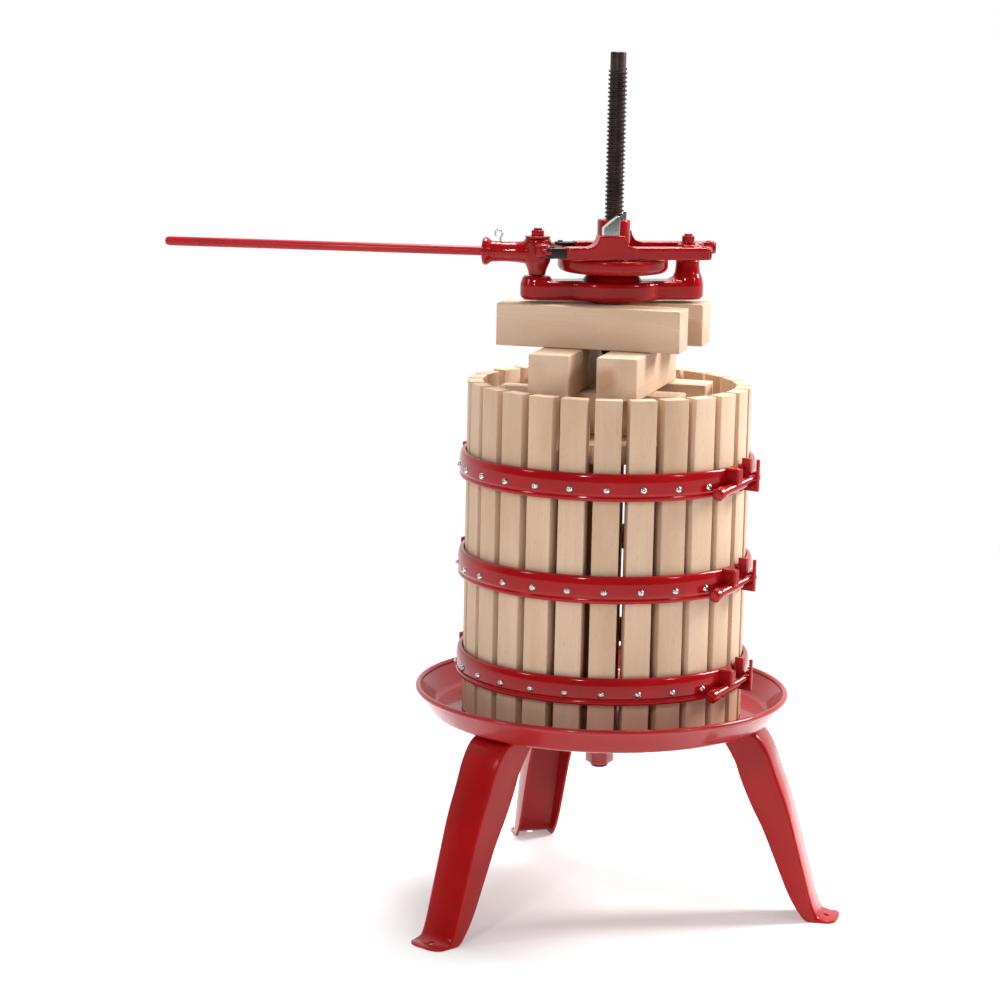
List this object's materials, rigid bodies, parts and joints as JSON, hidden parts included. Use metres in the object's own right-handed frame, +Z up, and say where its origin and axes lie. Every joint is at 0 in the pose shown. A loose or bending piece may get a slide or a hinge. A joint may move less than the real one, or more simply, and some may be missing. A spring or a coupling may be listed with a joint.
{
  "type": "basket wine press",
  "caption": "Three-legged basket press: a slatted basket on a juice tray, with a ratchet head that screws down a threaded spindle.",
  "frame": {"origin": "bottom centre of the whole press's bounding box, on the floor; the spindle's axis stands at x 0.1198, y -0.0270", "axes": "+Z up along the spindle, +X to the right as seen from the front, -Y to the front, handle towards -X"},
  "size_m": [0.8286, 0.5214, 1.0238],
  "materials": {
    "gloss_red": "deep gloss red enamel on castings and hoops",
    "leg_red": "darker gloss red enamel on pressed sheet",
    "tray_red": "lighter satin red enamel",
    "bar_red": "satin red enamel on a steel bar",
    "black_steel": "blackened, oiled screw thread",
    "beech": "planed, unfinished pale beech",
    "zinc": "zinc plated, faintly green"
  },
  "bodies": {
    "stand": {"tray": "tray_red", "spindle": "black_steel", "leg_right": "leg_red", "leg_left": "leg_red", "leg_back": "leg_red"},
    "basket_rear": {"stave_rear_05": "beech", "stave_rear_06": "beech", "stave_rear_07": "beech", "stave_rear_08": "beech", "stave_rear_09": "beech", "stave_rear_10": "beech", "stave_rear_11": "beech", "stave_rear_12": "beech", "stave_rear_13": "beech", "stave_rear_14": "beech", "stave_rear_15": "beech", "stave_rear_16": "beech", "stave_rear_17": "beech", "hoop_rear_top": "gloss_red", "hoop_rear_middle": "gloss_red", "hoop_rear_bottom": "gloss_red"},
    "basket_front": {"stave_front_00": "beech", "stave_front_01": "beech", "stave_front_02": "beech", "stave_front_03": "beech", "stave_front_04": "beech", "stave_front_18": "beech", "stave_front_19": "beech", "stave_front_20": "beech", "stave_front_21": "beech", "stave_front_22": "beech", "stave_front_23": "beech", "stave_front_24": "beech", "stave_front_25": "beech", "hoop_front_top": "gloss_red", "hoop_front_middle": "gloss_red", "hoop_front_bottom": "gloss_red", "draw_bolt_top": "gloss_red", "draw_bolt_middle": "gloss_red", "draw_bolt_bottom": "gloss_red"},
    "pressing_blocks": {"block_top_front": "beech", "block_top_back": "beech", "block_middle_left": "beech", "block_middle_right": "beech", "block_bottom_front": "beech", "block_bottom_back": "beech", "board_left": "beech", "board_right": "beech"},
    "yoke": {"yoke": "gloss_red", "pivot_bolt_lever": "gloss_red", "pivot_bolt_rocker": "gloss_red"},
    "nut": {"ratchet_nut": "gloss_red"},
    "lever": {"lever": "gloss_red", "handle_bar": "bar_red", "handle_clip": "zinc"},
    "rocker": {"rocker": "gloss_red"},
    "arm_front": {"arm_front": "gloss_red"},
    "arm_back": {"arm_back": "gloss_red"},
    "pawl_front": {"pawl_front": "zinc"},
    "pawl_back": {"pawl_back": "zinc"}
  },
  "joints": [
    {"name": "basket_turn", "type": "hinge", "parent": "stand", "child": "basket_rear", "pos_m": [0.11981, -0.02703, 0.2356], "axis": [0, 0, 1], "continuous": true},
    {"name": "basket_half_lift", "type": "slide", "parent": "basket_rear", "child": "basket_front", "axis": [0, 0, 1], "range_m": [0, 0.035]},
    {"name": "head_slide", "type": "slide", "parent": "stand", "child": "pressing_blocks", "axis": [0, 0, 1], "range_m": [-0.0951, 0.1201]},
    {"name": "head_turn", "type": "hinge", "parent": "pressing_blocks", "child": "yoke", "pos_m": [0.11981, -0.02703, 0.731], "axis": [0, 0, 1], "continuous": true},
    {"name": "nut_spin", "type": "hinge", "parent": "yoke", "child": "nut", "pos_m": [0.11981, -0.02703, 0.766], "axis": [0, 0, 1], "range_deg": [-6840, 8640]},
    {"name": "lever_swing", "type": "hinge", "parent": "yoke", "child": "lever", "pos_m": [0.03103, -0.04917, 0.789], "axis": [0, 0, 1], "range_deg": [-2, 36]},
    {"name": "rocker_swing", "type": "hinge", "parent": "yoke", "child": "rocker", "pos_m": [0.20859, -0.00489, 0.789], "axis": [0, 0, 1], "range_deg": [-2, 36]},
    {"name": "arm_front_pivot", "type": "hinge", "parent": "lever", "child": "arm_front", "pos_m": [0.04911, -0.09491, 0.789], "axis": [0, 0, 1], "range_deg": [-36, 2]},
    {"name": "arm_back_pivot", "type": "hinge", "parent": "lever", "child": "arm_back", "pos_m": [0.05678, -0.00725, 0.789], "axis": [0, 0, 1], "range_deg": [-36, 2]},
    {"name": "pawl_front_lift", "type": "slide", "parent": "arm_front", "child": "pawl_front", "axis": [0, 0, 1], "range_m": [0, 0.012]},
    {"name": "pawl_back_lift", "type": "slide", "parent": "arm_back", "child": "pawl_back", "axis": [0, 0, 1], "range_m": [0, 0.012]}
  ],
  "couplings": [
    {"joint": "head_slide", "follows": "nut_spin", "m_per_rad": 0.00079577},
    {"joint": "rocker_swing", "follows": "lever_swing", "ratio": 1},
    {"joint": "arm_front_pivot", "follows": "lever_swing", "ratio": -1},
    {"joint": "arm_back_pivot", "follows": "lever_swing", "ratio": -1}
  ]
}
